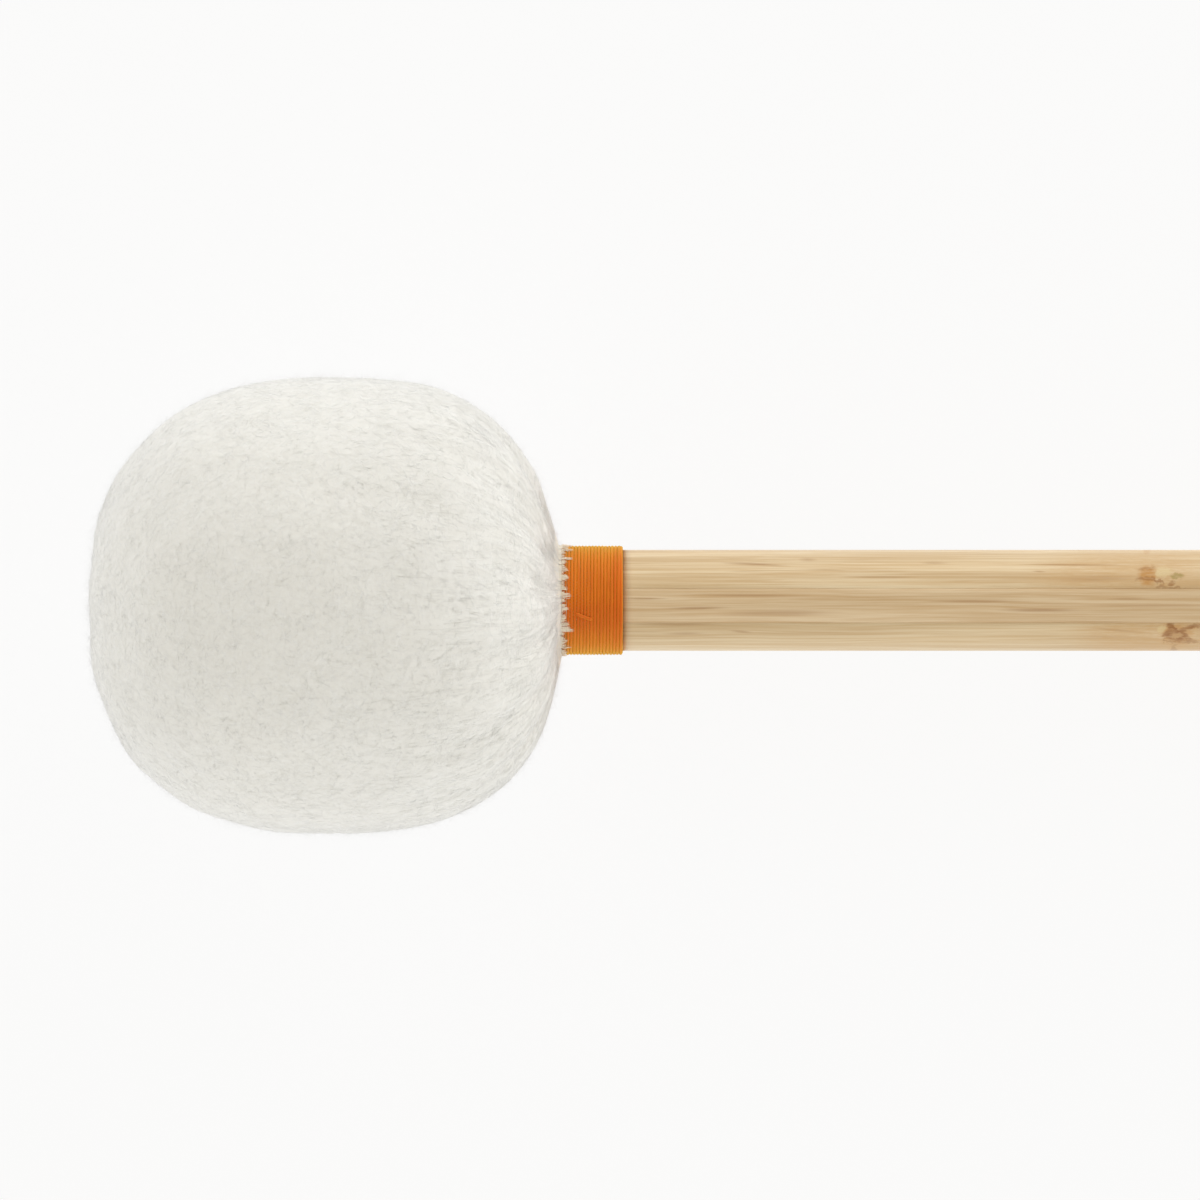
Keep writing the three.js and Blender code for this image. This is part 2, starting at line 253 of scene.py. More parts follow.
CLOSED_MARKS = [
    (-3, 0, 16, 6, 0, 0.6, "warm"),
    (-0.1, 0.0, 3.4, 2.4, 0, 0.5, "orange"),
    (0.1, 2.2, 2.6, 0.6, 0, 0.45, "pink"),
    (-1.1, 1.2, 1.0, 0.85, 35, 0.85, "dark"),
    (-0.3, 0.6, 1.9, 0.5, -35, 0.85, "dark"),
    (-1.6, -0.1, 1.0, 0.65, 50, 0.8, "dark"),
    (0.0, -0.35, 1.9, 1.5, 0, 0.85, "dark"),
    (0.0, -0.35, 1.1, 0.85, 0, 0.8, "pink"),
    (0.35, -0.8, 0.6, 0.4, 0, 0.75, "dark"),
    (1.4, 0.75, 1.8, 0.5, 14, 0.75, "dark"),
    (2.7, 1.15, 1.4, 0.5, 0, 0.65, "dark"),
    (1.4, -0.5, 1.3, 0.45, -40, 0.6, "dark"),
    (2.3, -1.3, 1.9, 0.4, 0, 0.5, "dark"),
    (-2.6, 0.6, 0.9, 0.6, 0, 0.6, "pale"),
    (-1.4, -1.3, 1.3, 0.2, -20, 0.5, "dark"),
    (-0.4, -2.6, 1.5, 1.2, 0, 0.45, "pink"),
    (-0.3, -2.6, 0.6, 1.0, 0, 0.45, "dark"),
]
KNOT_TONES = {
    "dark": (150, 92, 2),
    "orange": (194, 132, 36),
    "olive": (164, 138, 58),
    "warm": (206, 162, 100),
    "pale": (228, 206, 150),
    "pink": (206, 164, 106),
}

# Dark streaks in the boards: X at both ends, Y at both ends, width and strength
STREAKS = {
    "far": [
        (24, 37, 6.0, 5.4, 0.35, 0.85),
        (37, 41, 6.5, 6.4, 0.5, 0.5),
        (43, 58, 3.7, 3.6, 0.25, 0.6),
        (56, 62, 5.9, 5.9, 0.4, 0.4),
        (70, 92, 5.7, 5.5, 0.22, 0.9),
        (74, 77, 4.6, 4.5, 0.2, 0.6),
        (75, 94, 3.2, 3.6, 0.75, 0.55),
        (90, 94, 5.0, 4.6, 0.4, 0.5),
    ],
    "middle": [
        (19, 41, 0.8, 0.7, 0.3, 0.6),
        (8, 18, 0.3, 0.25, 0.22, 0.7),
        (15, 28, -1.35, -1.1, 0.28, 0.9),
        (22, 46, -2.2, -1.9, 0.8, 0.5),
        (56, 75, -0.15, -0.2, 0.35, 0.6),
        (67, 84, -1.5, -1.6, 0.4, 0.75),
        (85, 94, 0.2, 0.2, 0.3, 0.5),
        (78, 108, -0.8, -0.8, 0.3, 0.4),
    ],
    "near": [
        (8, 27, -3.75, -3.85, 0.3, 0.6),
        (26, 31, -4.7, -5.2, 0.3, 0.55),
        (15, 24, -5.3, -5.2, 0.35, 0.45),
        (82, 95, -4.2, -5.4, 0.3, 0.6),
        (78, 96, -5.6, -5.9, 0.25, 0.5),
        (98, 106, -3.9, -3.7, 0.3, 0.7),
        (98, 110, -5.6, -5.8, 0.4, 0.5),
    ],
}

# Light: strengths of the surroundings and of the floor, where 1 is white
HORIZON_LIGHT = 1.0
ZENITH_LIGHT = 0.62
FAR_FAVOUR = 0.07  # the far side is brighter by this share
FLOOR_LIGHT = 1.15
FLOOR_GLOW = 0.6  # the share of the floor's light that is its own
FLOOR_SEEN_GLOW = 0.86  # and that share where the floor is seen
FLOOR_HALF = 3.0

# Softboxes: direction from the middle of the view, size, and power in watts
SOFTBOX_DISTANCE = 1.2
SOFTBOXES = {
    "far_softbox": ((0.1, 1, 0.7), 1.2, 0.6),
    "near_softbox": ((0.7, -1, 0.15), 0.3, 1.5),
    "front_softbox": ((-1, 0.1, 0.3), 1.0, 0.4),
    "rear_softbox": ((0.8, 1, 0.15), 0.3, 2.3),
}

# The photograph, in its own pixels
PHOTO_SCALE = 6.31 / MM  # pixels to the metre, along the shaft
PHOTO_WIDTH = 1200
PHOTO_NECK = 561.0
PHOTO_AXIS = 600.3
CAMERA_DISTANCE = 1.6
SENSOR_WIDTH = 36
FARTHEST_SEEN = 10

# The mallet's own axes, and its neck
butt_mount = next(m for m in frame["record"]["mounts"] if m["name"] == "butt_face")
axis = Vector(butt_mount["axis"]).normalized()
far = Vector((0, 1, 0))
top = axis.cross(far)
neck = Vector(butt_mount["pos_m"]) - axis * BUTT
MALLET_TURN = Matrix([axis, far, top]).transposed().to_euler()
view_centre = (
    neck
    + axis * ((PHOTO_WIDTH / 2 - PHOTO_NECK) / PHOTO_SCALE)
    + far * ((PHOTO_AXIS - PHOTO_WIDTH / 2) / PHOTO_SCALE)
)


# Meshes
def laid_down(points):
    """Points of the mallet's own frame, in the part's frame and kept above the table."""
    laid = np.asarray(points).reshape(-1, 3) @ np.array([axis, far, top]) + np.array(neck)
    laid[:, 2] = np.maximum(laid[:, 2], 0)
    return laid


def make_piece(name, points, face_sets, material, smooth=True):
    """A mesh that rides on the mallet. A face set is an array with one face in a row."""
    corners = np.concatenate([np.ravel(faces) for faces in face_sets]).astype(np.int32)
    sizes = np.concatenate([np.full(len(faces), len(faces[0])) for faces in face_sets])
    mesh = bpy.data.meshes.new(name)
    mesh.vertices.add(len(points))
    mesh.vertices.foreach_set("co", laid_down(points).astype(np.float32).ravel())
    mesh.loops.add(len(corners))
    mesh.loops.foreach_set("vertex_index", corners)
    mesh.polygons.add(len(sizes))
    mesh.polygons.foreach_set("loop_start", (np.cumsum(sizes) - sizes).astype(np.int32))
    mesh.update(calc_edges=True)
    mesh.polygons.foreach_set("use_smooth", np.full(len(sizes), smooth))
    mesh.materials.append(material)
    piece = bpy.data.objects.new(name, mesh)
    bpy.context.scene.collection.objects.link(piece)
    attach(piece, "root")
    return piece


def ring_faces(rings, around):
    """Quads that join rings of points, each closed on itself."""
    ring, corner = np.meshgrid(np.arange(rings - 1), np.arange(around), indexing="ij")
    here = ring * around + corner
    after = ring * around + (corner + 1) % around
    return np.stack([here, after, after + around, here + around], -1).reshape(-1, 4)


def unit(vectors):
    return vectors / np.maximum(np.linalg.norm(vectors, axis=-1, keepdims=True), 1e-12)


def around_path(path, outward, radii, turns, flatness=1.0):
    """Points on rings round a path: radii and turns have one row for each point of the path."""
    along = unit(np.gradient(path, axis=-2))
    side = unit(np.cross(along, outward))
    up = np.cross(side, along) * flatness
    across = np.cos(turns)[..., None] * side[..., None, :]
    rise = np.sin(turns)[..., None] * up[..., None, :]
    return path[..., None, :] + radii[..., None] * (across + rise)


def on_circle(x, radius, angle):
    return np.stack(np.broadcast_arrays(x, radius * np.sin(angle), radius * np.cos(angle)), -1)


def waves(count, scale, seed):
    """A smooth random field over places: a sum of waves about as long as scale."""
    draw = np.random.default_rng(seed)
    directions = unit(draw.normal(size=(count, 3)))
    numbers = WHOLE / (scale * draw.uniform(*WAVE_SPREAD, count))
    starts = draw.uniform(0, WHOLE, count)

    def field(points):
        value = np.zeros(points.shape[:-1])
        for direction, number, start in zip(directions, numbers, starts):
            value += np.sin(points @ direction * number + start)
        return value * math.sqrt(2 / count)

    return field


# Head outline, as a table of places from the neck to the front
def outline_at(turn, depth):
    behind = turn < QUARTER
    power = np.where(behind, REAR_POWER, FRONT_POWER)
    reach = np.where(behind, HEAD_WIDEST - depth, HEAD_WIDEST - HEAD_LENGTH + depth)
    along = np.abs(np.cos(turn)) ** (2 / power)
    across = np.abs(np.sin(turn)) ** (2 / power)
    return -HEAD_WIDEST + reach * along, (HEAD_RADIUS - depth) * across


def start_turn(radius, depth):
    return math.asin((radius / (HEAD_RADIUS - depth)) ** (REAR_POWER / 2))


TURN = np.linspace(start_turn(NECK_RADIUS, PILE), math.pi - 1e-4, PROFILE_STEPS)
PROFILE_X, PROFILE_R = outline_at(TURN, PILE)
PROFILE_X += NECK_FILL * np.exp((NECK_RADIUS - PROFILE_R) / NECK_FILL_REACH) * (TURN < QUARTER)
ARC = np.concatenate([[0], np.cumsum(np.hypot(np.diff(PROFILE_X), np.diff(PROFILE_R)))])
SLOPE = np.arctan2(np.gradient(PROFILE_R, ARC), np.gradient(PROFILE_X, ARC))
WHOLE_ARC = ARC[-1]
HEAD_MIDDLE = np.array([-HEAD_WIDEST, 0, 0])

lumps = waves(24, LUMP_LENGTH, 1)
clumps = waves(40, CLUMP_LENGTH, 2)
tufts = waves(60, TUFT_LENGTH, 3)
flow = waves(30, FLOW_LENGTH, 5)
locks = waves(40, LOCK_LENGTH, 7)


def relief(s, angle, turn, x, radius):
    """Height of the pile's floor over its plain outline."""
    share = np.clip((turn - TURN[0]) / (QUARTER - TURN[0]), 0, 1)
    fade = np.sin(math.pi * np.sqrt(share)) ** 2
    turned = QUARTER - angle
    fold = GATHERS * turned + GATHER_SWAY * np.sin(2 * turned + GATHER_SWAY)
    height = -GATHER_DEPTH * fade * ((1 + np.cos(fold)) / 2) ** GATHER_SHARPNESS
    pleat = np.sin(PLEATS * turned + PLEAT_SWAY * np.sin(3 * turned))
    near = np.clip(s / PLEAT_START, 0, 1)
    height += PLEAT_DEPTH * np.exp(-s / PLEAT_REACH) * near * pleat
    start = np.clip(s / CREASE_START, 0, 1)
    for degrees, depth, width, reach in CREASES:
        away = np.angle(np.exp(1j * (angle - math.radians(degrees)))) * radius
        height -= depth * start * np.clip(1 - s / reach, 0, 1) * np.exp(-((away / width) ** 2))
    place = on_circle(x, radius, angle)
    rough = np.clip(s / CALM_REACH, CALM_SHARE, 1)
    pile = CLUMP_HEIGHT * clumps(place) + TUFT_HEIGHT * tufts(place)
    height += LUMP_HEIGHT * lumps(place) + rough * pile
    return height


def head_point(s, angle, height):
    """Places on the head: s from the neck along the outline, angle from the top, and height."""
    s, angle = np.broadcast_arrays(np.clip(s, 0, WHOLE_ARC), angle)
    x = np.interp(s, ARC, PROFILE_X)
    radius = np.interp(s, ARC, PROFILE_R)
    slope = np.interp(s, ARC, SLOPE)
    turn = np.interp(s, ARC, TURN)
    out = height + relief(s, angle, turn, x, radius)
    place = on_circle(x + np.sin(slope) * out, radius - np.cos(slope) * out, angle)
    place[..., 0] -= HEAD_TILT * place[..., 1] * np.clip(1 - s / HEAD_TILT_REACH, 0, 1)
    place[..., 1] -= HEAD_SAG * np.clip(s / HEAD_SAG_REACH, 0, 1)
    return place


# Shader nodes
def new_material(name, roughness, specular):
    material = bpy.data.materials.new(name)
    material.use_nodes = True
    tree = material.node_tree
    shader = tree.nodes["Principled BSDF"]
    shader.inputs["Roughness"].default_value = roughness
    shader.inputs["Specular IOR Level"].default_value = specular
    return material, tree, shader


def add_node(tree, kind, inputs=(), **settings):
    """A new node. inputs pairs an input's name or number with a value or another node's output."""
    node = tree.nodes.new(kind)
    for key, value in settings.items():
        setattr(node, key, value)
    for key, value in inputs:
        if isinstance(value, bpy.types.NodeSocket):
            tree.links.new(value, node.inputs[key])
        else:
            node.inputs[key].default_value = value
    return node


def calculate(tree, operation, *values, clamp=False):
    node = add_node(tree, "ShaderNodeMath", enumerate(values), operation=operation)
    node.use_clamp = clamp
    return node.outputs[0]


def srgb(red, green, blue):
    """A colour from 0 to 255 as on a screen, in the linear values that a shader takes."""
    share = np.array([red, green, blue]) / 255
    low, high = share / 12.92, ((share + 0.055) / 1.055) ** 2.4
    return (*np.where(share <= 0.04045, low, high), 1)


def mixed(tree, factor, first, second, blend="MIX"):
    """The first colour, and the second one over it by the factor."""
    inputs = [(0, factor), (6, first), (7, second)]
    node = add_node(tree, "ShaderNodeMix", inputs, data_type="RGBA", blend_type=blend)
    return node.outputs[2]


def ramp(tree, factor, stops):
    """A colour that goes by the factor. stops pairs a place from 0 to 1 with its colour."""
    node = add_node(tree, "ShaderNodeValToRGB", [(0, factor)])
    elements = node.color_ramp.elements
    while len(elements) < len(stops):
        elements.new(0.5)
    for element, (place, colour) in zip(elements, stops):
        element.position = place
        element.color = colour
    return node.outputs[0]


def mallet_coordinates(tree):
    """Shader coordinates in the mallet's own frame."""
    place = add_node(tree, "ShaderNodeTexCoord").outputs["Object"]
    inputs = [("Vector", place), ("Location", neck), ("Rotation", MALLET_TURN)]
    return add_node(tree, "ShaderNodeMapping", inputs, vector_type="TEXTURE").outputs[0]


def vector_math(tree, operation, *values):
    """The outputs of a sum on coordinates: the vector first, and the number as Value."""
    return add_node(tree, "ShaderNodeVectorMath", enumerate(values), operation=operation).outputs


def measured(tree, place, lengths, centre=(0, 0, 0), tilt=0.0):
    """Coordinates from a centre, in which the given lengths along X, Y and Z are one unit."""
    inputs = [("Vector", place), ("Location", centre), ("Rotation", (0, 0, tilt)), ("Scale", lengths)]
    return add_node(tree, "ShaderNodeMapping", inputs, vector_type="TEXTURE").outputs[0]


def noise(tree, place, lengths, detail=2.0, roughness=0.5):
    """Noise from 0 to 1, whose features have about the given lengths along X, Y and Z."""
    own = measured(tree, place, lengths)
    inputs = [("Vector", own), ("Scale", 1.0), ("Detail", detail), ("Roughness", roughness)]
    return add_node(tree, "ShaderNodeTexNoise", inputs).outputs[0]


def even(length):
    return (length, length, length)


def remap(tree, value, low, high, to_low=0.0, to_high=1.0):
    inputs = [(0, value), (1, low), (2, high), (3, to_low), (4, to_high)]
    kind = "ShaderNodeMapRange"
    return add_node(tree, kind, inputs, interpolation_type="SMOOTHSTEP").outputs[0]


def blob(tree, place, centre, lengths, tilt=0.0, edge=0.15):
    """1 at a centre, falling to 0 at the given lengths from it."""
    own = measured(tree, place, lengths, centre, tilt)
    return remap(tree, vector_math(tree, "LENGTH", own)["Value"], 1.0, edge)


def swing(tree, value, reach):
    """Noise from 0 to 1, turned into a shift of up to half the reach to both sides of 0."""
    return calculate(tree, "MULTIPLY", calculate(tree, "SUBTRACT", value, 0.5), reach)


def moved(tree, place, **shifts):
    """Coordinates with a shift added along some of X, Y and Z."""
    offset = add_node(tree, "ShaderNodeCombineXYZ", shifts.items()).outputs[0]
    return vector_math(tree, "ADD", place, offset)[0]


def bump(tree, height, distance):
    inputs = [("Height", height), ("Distance", distance), ("Strength", 1.0)]
    return add_node(tree, "ShaderNodeBump", inputs).outputs[0]


def add_sheen(shader, weight, roughness=0.5):
    shader.inputs["Sheen Weight"].default_value = weight
    shader.inputs["Sheen Roughness"].default_value = roughness


def show_through(tree, share, shader, other):
    """Makes the material's surface of a shader, with a share of another one."""
    inputs = [(0, share), (1, shader.outputs[0]), (2, other.outputs[0])]
    blend = add_node(tree, "ShaderNodeMixShader", inputs)
    tree.links.new(blend.outputs[0], tree.nodes["Material Output"].inputs["Surface"])


def connect(tree, shader, colour, normal=None, roughness=None):
    tree.links.new(colour, shader.inputs["Base Color"])
    if normal:
        tree.links.new(normal, shader.inputs["Normal"])
    if roughness:
        tree.links.new(roughness, shader.inputs["Roughness"])


# Materials. Grain: lengths along X, Y and Z over which a noise changes
GRAIN = {
    "nap_mottle": even(0.6 * MM),
    "nap_patch": even(11 * MM),
    "thread_patch": (0.5 * MM, 5 * MM, 5 * MM),
    "thread_fluff": even(0.14 * MM),
    "node_split": (1.6 * MM, 0.3 * MM, 0.3 * MM),
    "node_wobble": even(0.9 * MM),
    "bend": (26 * MM, 5 * MM, 5 * MM),
    "eddy": (1.6 * MM, 1.4 * MM, 1.4 * MM),
    "broad": (70 * MM, 2.4 * MM, 2.4 * MM),
    "bundles": (30 * MM, 0.38 * MM, 0.38 * MM),
    "hairs": (9 * MM, 0.13 * MM, 0.13 * MM),
    "dashes": (24 * MM, 0.6 * MM, 0.6 * MM),
    "core_maple": (14 * MM, 1 * MM, 1 * MM),
    "pin_beech": (0.6 * MM, 5 * MM, 0.6 * MM),
    "core_felt": even(0.7 * MM),
    "padding_wool": even(1.6 * MM),
    "tie_cord": even(0.25 * MM),
}
NAP_RELIEF = 0.012 * MM
NAP_STREAK = 7 * MM  # the length of its streaks
NAP_CELLS = 20  # in the radius of the drum that they are drawn on
NAP_STREAKED = (-32 * MM, -14 * MM)  # between these X, the mottle turns into streaks
THREAD_RELIEF = 0.04 * MM
LAST_TURNS = (9.0 * MM, 0, 0)  # the middle of a tint, and so are the next two
# Painted shade: the first turns are darkened where the fleece's edge shades them.
SHADED_FIRST_TURNS = (0.2 * MM, 0, 0)
# Painted shade: the side of the thread that gets the least light is redder and darker.
SHADED_SIDE = (5 * MM, -2.6 * MM, 8 * MM)
TURNS_REACH = (1.2 * MM, 20 * MM, 20 * MM)
SHADED_SIDE_REACH = (8 * MM, 3.6 * MM, 8 * MM)
BAMBOO_RELIEF = 0.02 * MM
BEND_REACH = 0.8 * MM  # twice as far as the bundles bend
EDDY_REACH = 2.2 * MM
EDDY_SIZE = (5 * MM, 2.6 * MM, 8 * MM)
EDDY_HEIGHT = 0.8 * SHAFT_RADIUS
STREAK_DEPTH = 10 * MM
WOBBLE_REACH = 1.2 * MM
MARK_DEPTH = 40 * MM

# Finishes inside the head: two tones, roughness and relief
HIDDEN_FINISHES = {
    "core_maple": (srgb(206, 178, 136), srgb(232, 208, 170), 0.55, 0.03 * MM),
    "pin_beech": (srgb(178, 132, 84), srgb(206, 162, 112), 0.5, 0.03 * MM),
    "core_felt": (srgb(168, 163, 152), srgb(198, 193, 183), 0.95, 0.2 * MM),
    "padding_wool": (srgb(224, 218, 202), srgb(243, 240, 230), 0.95, 0.4 * MM),
    "tie_cord": (srgb(222, 204, 176), srgb(243, 230, 210), 0.7, 0.05 * MM),
}
HIDDEN_NODES = {
    "head_core": "core_maple",
    "core_pin": "pin_beech",
    "felt_wrap": "core_felt",
    "felt_pad_front": "core_felt",
    "felt_pad_rear": "core_felt",
    "padding_layer": "padding_wool",
    "neck_tie": "tie_cord",
    "binding_underwinding": "orange_thread",
}


def fleece_floor_material():
    """The nap under the fibres: mottled in front, and streaked towards the neck behind."""
    material, tree, shader = new_material("fleece_floor", 0.95, 0.1)
    place = mallet_coordinates(tree)
    # Streaks that run to the neck: noise on a drum, which has as many cells at any radius.
    across = vector_math(tree, "MULTIPLY", place, (0, 1, 1))[0]
    drum = vector_math(tree, "NORMALIZE", across)[0]
    drum = vector_math(tree, "MULTIPLY", drum, (0, NAP_CELLS, NAP_CELLS))[0]
    run = vector_math(tree, "MULTIPLY", place, (1 / NAP_STREAK, 0, 0))[0]
    polar = vector_math(tree, "ADD", drum, run)[0]
    streaks = noise(tree, polar, even(1.0), 3, 0.6)
    mottle = noise(tree, place, GRAIN["nap_mottle"], 3, 0.6)
    x = add_node(tree, "ShaderNodeSeparateXYZ", [(0, place)]).outputs["X"]
    behind = remap(tree, x, *NAP_STREAKED)
    pattern = add_node(tree, "ShaderNodeMix", [(0, behind), (2, mottle), (3, streaks)]).outputs[0]
    patch = noise(tree, place, GRAIN["nap_patch"], 2)
    colour = ramp(tree, pattern, [(0.3, srgb(243, 242, 237)), (0.65, srgb(249, 249, 245))])
    colour = mixed(tree, calculate(tree, "MULTIPLY", patch, 0.4), colour, srgb(246, 244, 237))
    connect(tree, shader, colour, bump(tree, pattern, NAP_RELIEF))
    add_sheen(shader, 0.8, 0.45)
    return material


def fibre_material(name, dark, light, tip, through):
    """Fibres that let some light through. Their colour goes by shade, and changes to the tip."""
    material, tree, shader = new_material(name, 0.8, 0.2)
    shade = add_node(tree, "ShaderNodeAttribute", attribute_name="shade").outputs["Fac"]
    along = add_node(tree, "ShaderNodeAttribute", attribute_name="along").outputs["Fac"]
    colour = ramp(tree, shade, [(0.0, dark), (0.7, light), (1.0, light)])
    colour = mixed(tree, calculate(tree, "MULTIPLY", along, 0.8), colour, tip)
    connect(tree, shader, colour)
    add_sheen(shader, 0.5)
    glow = add_node(tree, "ShaderNodeBsdfTranslucent", [("Color", colour)])
    show_through(tree, through, shader, glow)
    return material


def thread_material():
    """Orange thread: redder in its last turns; painted shade browns it at the neck and reddens one
    side.
    """
    material, tree, shader = new_material("orange_thread", 0.55, 0.25)
    place = mallet_coordinates(tree)
    patch = noise(tree, place, GRAIN["thread_patch"], 2)
    fluff = noise(tree, place, GRAIN["thread_fluff"], 2)
    colour = ramp(tree, patch, [(0.3, srgb(220, 92, 14)), (0.7, srgb(235, 114, 18))])
    last = blob(tree, place, LAST_TURNS, TURNS_REACH, edge=0.6)
    # Painted shade: the first turns are browner where the fleece's edge shades them.
    first = blob(tree, place, SHADED_FIRST_TURNS, TURNS_REACH, edge=0.5)
    # Painted shade: redder and darker on the side of the thread that gets the least light.
    red = blob(tree, place, SHADED_SIDE, SHADED_SIDE_REACH, edge=0.3)
    tints = [
        (last, 0.5, srgb(226, 80, 12)),
        (first, 0.55, srgb(140, 62, 14)),
        (red, 0.6, srgb(216, 74, 10)),
        (fluff, 0.35, srgb(240, 142, 26)),
    ]
    for where, strength, tint in tints:
        colour = mixed(tree, calculate(tree, "MULTIPLY", where, strength), colour, tint)
    connect(tree, shader, colour, bump(tree, fluff, THREAD_RELIEF))
    add_sheen(shader, 1.0)
    shader.inputs["Sheen Tint"].default_value = srgb(255, 240, 80)
    return material


def knot_marks(tree, place, colour, knot, marks):
    """A node of the bamboo, where the fibres part and tangle. It goes right through the board."""
    split = noise(tree, place, GRAIN["node_split"], 2)
    broken = remap(tree, split, 0.35, 0.6, 0.65, 1.0)
    wobble = swing(tree, noise(tree, place, GRAIN["node_wobble"], 2), WOBBLE_REACH)
    place = moved(tree, place, X=wobble, Y=wobble)
    for x, y, length, width, tilt, strength, tone in marks:
        centre = (knot[0] + x * MM, knot[1] + y * MM, 0)
        lengths = (length * MM, width * MM, MARK_DEPTH)
        mark = blob(tree, place, centre, lengths, math.radians(tilt), 0.45)
        factor = calculate(tree, "MULTIPLY", calculate(tree, "MULTIPLY", mark, broken), strength)
        colour = mixed(tree, factor, colour, srgb(*KNOT_TONES[tone]))
    return colour


def bamboo_material(name, streaks, knot, marks, dark, light):
    """Bamboo: long fibre bundles along the board, dark streaks and a node."""
    material, tree, shader = new_material(name, 0.4, 0.8)
    place = mallet_coordinates(tree)
    # Bundles run a little crooked, most of all round the node.
    bend = swing(tree, noise(tree, place, GRAIN["bend"], 1), BEND_REACH)
    eddy = swing(tree, noise(tree, place, GRAIN["eddy"], 1), EDDY_REACH)
    close = blob(tree, place, (*knot, EDDY_HEIGHT), EDDY_SIZE)
    shift = calculate(tree, "ADD", bend, calculate(tree, "MULTIPLY", eddy, close))
    crooked = moved(tree, place, Y=shift, Z=shift)
    broad = noise(tree, crooked, GRAIN["broad"], 2)
    bundles = noise(tree, crooked, GRAIN["bundles"], 3, 0.55)
    hairs = noise(tree, crooked, GRAIN["hairs"], 2)
    dashes = noise(tree, crooked, GRAIN["dashes"], 1)
    colour = ramp(tree, broad, [(0.35, dark), (0.65, light)])
    lines = ramp(tree, bundles, [(0.34, srgb(226, 206, 172)), (0.62, srgb(255, 255, 255))])
    colour = mixed(tree, 0.62, colour, lines, "MULTIPLY")
    pale = ramp(tree, hairs, [(0.3, srgb(240, 232, 218)), (0.7, srgb(255, 255, 255))])
    colour = mixed(tree, 0.7, colour, pale, "MULTIPLY")
    colour = mixed(tree, remap(tree, dashes, 0.7, 0.8, 0.0, 0.3), colour, srgb(174, 134, 80))
    for start, end, start_y, end_y, width, strength in streaks:
        centre = ((start + end) / 2 * MM, (start_y + end_y) / 2 * MM, SHAFT_RADIUS)
        lengths = ((end - start) / 2 * MM, width * MM, STREAK_DEPTH)
        tilt = math.atan2(end_y - start_y, end - start)
        streak = blob(tree, place, centre, lengths, tilt)
        thinned = calculate(tree, "MULTIPLY", streak, remap(tree, hairs, 0.3, 0.6, 0.55, 1.0))
        factor = calculate(tree, "MULTIPLY", thinned, strength)
        colour = mixed(tree, factor, colour, srgb(168, 122, 70))
    colour = knot_marks(tree, place, colour, knot, marks)
    height = calculate(tree, "ADD", bundles, hairs)
    gloss = remap(tree, bundles, 0.3, 0.7, 0.46, 0.34)
    connect(tree, shader, colour, bump(tree, height, BAMBOO_RELIEF), gloss)
    return material


def hidden_material(name, dark, light, roughness, relief_depth):
    """A plainer finish for a piece inside the head: two tones and a grain."""
    material, tree, shader = new_material(name, roughness, 0.3)
    grain = noise(tree, mallet_coordinates(tree), GRAIN[name], 4, 0.6)
    colour = ramp(tree, grain, [(0.3, dark), (0.7, light)])
    connect(tree, shader, colour, bump(tree, grain, relief_depth))
    return material


# Head cover
def head_cover(material):
    """The fleece's floor, its hem under the binding and its lining, as one closed shell."""
    angle = np.linspace(0, WHOLE, COVER_AROUND, endpoint=False)
    s = np.linspace(WHOLE_ARC, 0, COVER_RINGS + 1)[1:]
    outside = head_point(s[:, None], angle, 0.0)
    turn = np.linspace(start_turn(HEM_INSIDE, COVER_THICKNESS), math.pi, LINING_RINGS + 1)[:-1]
    lining_x, lining_r = outline_at(turn, COVER_THICKNESS)
    x = np.concatenate([[HEM_END, HEM_END], lining_x])
    radius = np.concatenate([[HEM_RADIUS, HEM_INSIDE], lining_r])
    inside = on_circle(x[:, None], radius[:, None], angle)
    rings = np.concatenate([outside, inside])
    tips = [head_point(WHOLE_ARC, 0.0, 0.0), (COVER_THICKNESS - HEAD_LENGTH, 0, 0)]
    first = np.arange(COVER_AROUND)
    after = np.roll(first, -1)
    last = (len(rings) - 1) * COVER_AROUND
    tip = np.full(COVER_AROUND, rings.shape[0] * COVER_AROUND)
    caps = [
        np.stack([tip, after, first], -1),
        np.stack([tip + 1, last + first, last + after], -1),
    ]
    faces = [ring_faces(len(rings), COVER_AROUND), *caps]
    points = np.concatenate([rings.reshape(-1, 3), tips])
    piece = make_piece("fleece_cover", points, faces, material)
    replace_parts(piece, "head_cover")


# Fibres
def fibre_faces(count, steps):
    """Faces of tapered fibres with three sides: rings of three points, and one at the tip."""
    first = np.arange(count)[:, None, None] * (3 * steps + 1)
    root = np.array([[0, 2, 1]])
    side = ring_faces(steps, 3)
    last = 3 * (steps - 1)
    tip = np.array([[last + i, last + (i + 1) % 3, 3 * steps] for i in range(3)])
    own = [(first + faces).reshape(-1, faces.shape[1]) for faces in (root, side, tip)]
    return [np.concatenate([own[0], own[2]]), own[1]]


def fibre_pieces(name, path, outward, width, shade, flatness, material):
    """Tapered fibres along their centre lines, split into meshes of a fair size."""
    for number, first in enumerate(range(0, len(path), FIBRES_IN_PIECE)):
        own = slice(first, first + FIBRES_IN_PIECE)
        part = path[own], outward[own], width[own], shade[own]
        fibre_piece(f"{name}_{number + 1}", *part, flatness, material)


